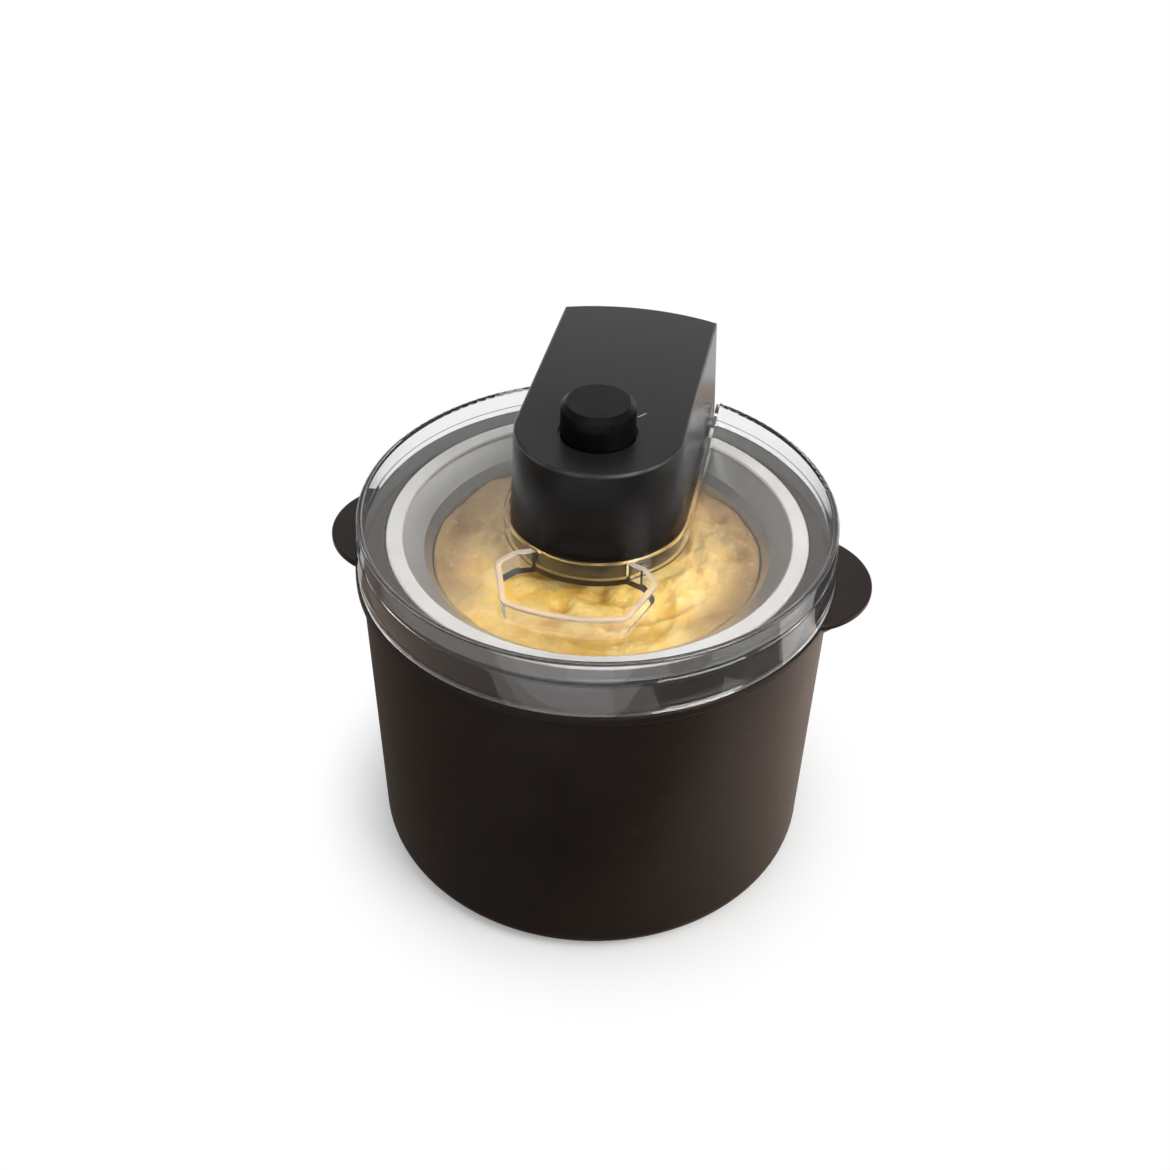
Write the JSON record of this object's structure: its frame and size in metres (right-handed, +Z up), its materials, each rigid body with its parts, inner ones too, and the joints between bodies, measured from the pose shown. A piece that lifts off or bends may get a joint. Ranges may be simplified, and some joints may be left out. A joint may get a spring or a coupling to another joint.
{
  "type": "ice cream maker",
  "caption": "Round freezer-bowl ice cream maker with two side handles, a clear lid with a filler chute, a churning paddle and a lift-off motor head with a switch knob.",
  "frame": {"origin": "where the bowl's axis meets the table", "axes": "+Z up along the bowl's axis, +Y towards the end of the motor head's tail, X through the two handles"},
  "size_m": [0.2344, 0.2056, 0.2229],
  "materials": {
    "housing_black": "fine matt, nearly black with a warm tint",
    "head_black": "satin black",
    "knob_black": "gloss side, bright bevel, spun top",
    "lid_clear": "clear, polished",
    "rim_white": "smooth white",
    "shell_white": "fine matt white",
    "liner_metal": "satin anodised",
    "gasket_rubber": "soft grey",
    "gel_blue": "sealed freezing gel",
    "paddle_white": "smooth moulded white",
    "foot_rubber": "matt black rubber",
    "plate_steel": "plated sheet steel",
    "shaft_steel": "ground steel",
    "screw_steel": "zinc plated",
    "bush_brass": "sintered brass",
    "gear_white": "natural acetal",
    "magnet_grey": "ferrite",
    "rotor_copper": "varnished winding",
    "switch_brown": "phenolic moulding",
    "board_green": "coated circuit board"
  },
  "bodies": {
    "housing": {"outer_housing": "housing_black", "rubber_feet": "foot_rubber"},
    "bowl": {"bowl_shell": "shell_white", "bowl_liner": "liner_metal", "bowl_rim": "rim_white", "bowl_gasket": "gasket_rubber", "cooling_gel": "gel_blue", "fill_plug": "shell_white"},
    "lid": {"lid": "lid_clear"},
    "paddle": {"paddle": "paddle_white"},
    "motor_head": {"head_cover": "head_black", "head_base": "head_black", "gear_plate": "plate_steel", "motor_plate": "plate_steel", "output_bush": "bush_brass", "shaft_seal": "gasket_rubber", "gear_axles": "shaft_steel", "motor_can": "plate_steel", "motor_end_cap": "gear_white", "motor_magnets": "magnet_grey", "switch_body": "switch_brown", "switch_nut": "plate_steel", "power_board": "board_green", "cord_bush": "foot_rubber", "cord_clamp": "head_black", "head_screws": "screw_steel", "gear_plate_screws": "screw_steel", "motor_plate_screws": "screw_steel", "motor_screws": "screw_steel", "clamp_screws": "screw_steel"},
    "drive": {"output_gear": "gear_white", "drive_shaft": "shaft_steel"},
    "slow_idler": {"slow_idler_gear": "gear_white"},
    "fast_idler": {"fast_idler_gear": "gear_white"},
    "rotor": {"motor_rotor": "rotor_copper", "motor_shaft": "shaft_steel", "motor_pinion": "bush_brass"},
    "switch_knob": {"knob": "knob_black", "switch_spindle": "shaft_steel"}
  },
  "joints": [
    {"name": "bowl_lift", "type": "slide", "parent": "housing", "child": "bowl", "axis": [0, 0, 1], "range_m": [0, 0.16]},
    {"name": "lid_lift", "type": "slide", "parent": "bowl", "child": "lid", "axis": [0, 0, 1], "range_m": [0, 0.15]},
    {"name": "head_lift", "type": "slide", "parent": "lid", "child": "motor_head", "axis": [0, 0, 1], "range_m": [0, 0.06]},
    {"name": "paddle_spin", "type": "hinge", "parent": "lid", "child": "paddle", "pos_m": [0, 0, 0.158], "axis": [0, 0, 1], "continuous": true},
    {"name": "drive_spin", "type": "hinge", "parent": "motor_head", "child": "drive", "pos_m": [0, 0, 0.168], "axis": [0, 0, 1], "continuous": true},
    {"name": "slow_idler_spin", "type": "hinge", "parent": "motor_head", "child": "slow_idler", "pos_m": [0, 0.0288, 0.18], "axis": [0, 0, 1], "continuous": true},
    {"name": "fast_idler_spin", "type": "hinge", "parent": "motor_head", "child": "fast_idler", "pos_m": [0, 0.0516, 0.19], "axis": [0, 0, 1], "continuous": true},
    {"name": "rotor_spin", "type": "hinge", "parent": "motor_head", "child": "rotor", "pos_m": [0, 0.0747, 0.19], "axis": [0, 0, 1], "continuous": true},
    {"name": "knob_turn", "type": "hinge", "parent": "motor_head", "child": "switch_knob", "pos_m": [0, -0.0035, 0.2], "axis": [0, 0, -1], "range_deg": [0, 90]}
  ],
  "couplings": [
    {"joint": "drive_spin", "follows": "paddle_spin", "ratio": 1},
    {"joint": "slow_idler_spin", "follows": "paddle_spin", "ratio": -3.5714},
    {"joint": "fast_idler_spin", "follows": "paddle_spin", "ratio": 13.393},
    {"joint": "rotor_spin", "follows": "paddle_spin", "ratio": -60.268}
  ]
}
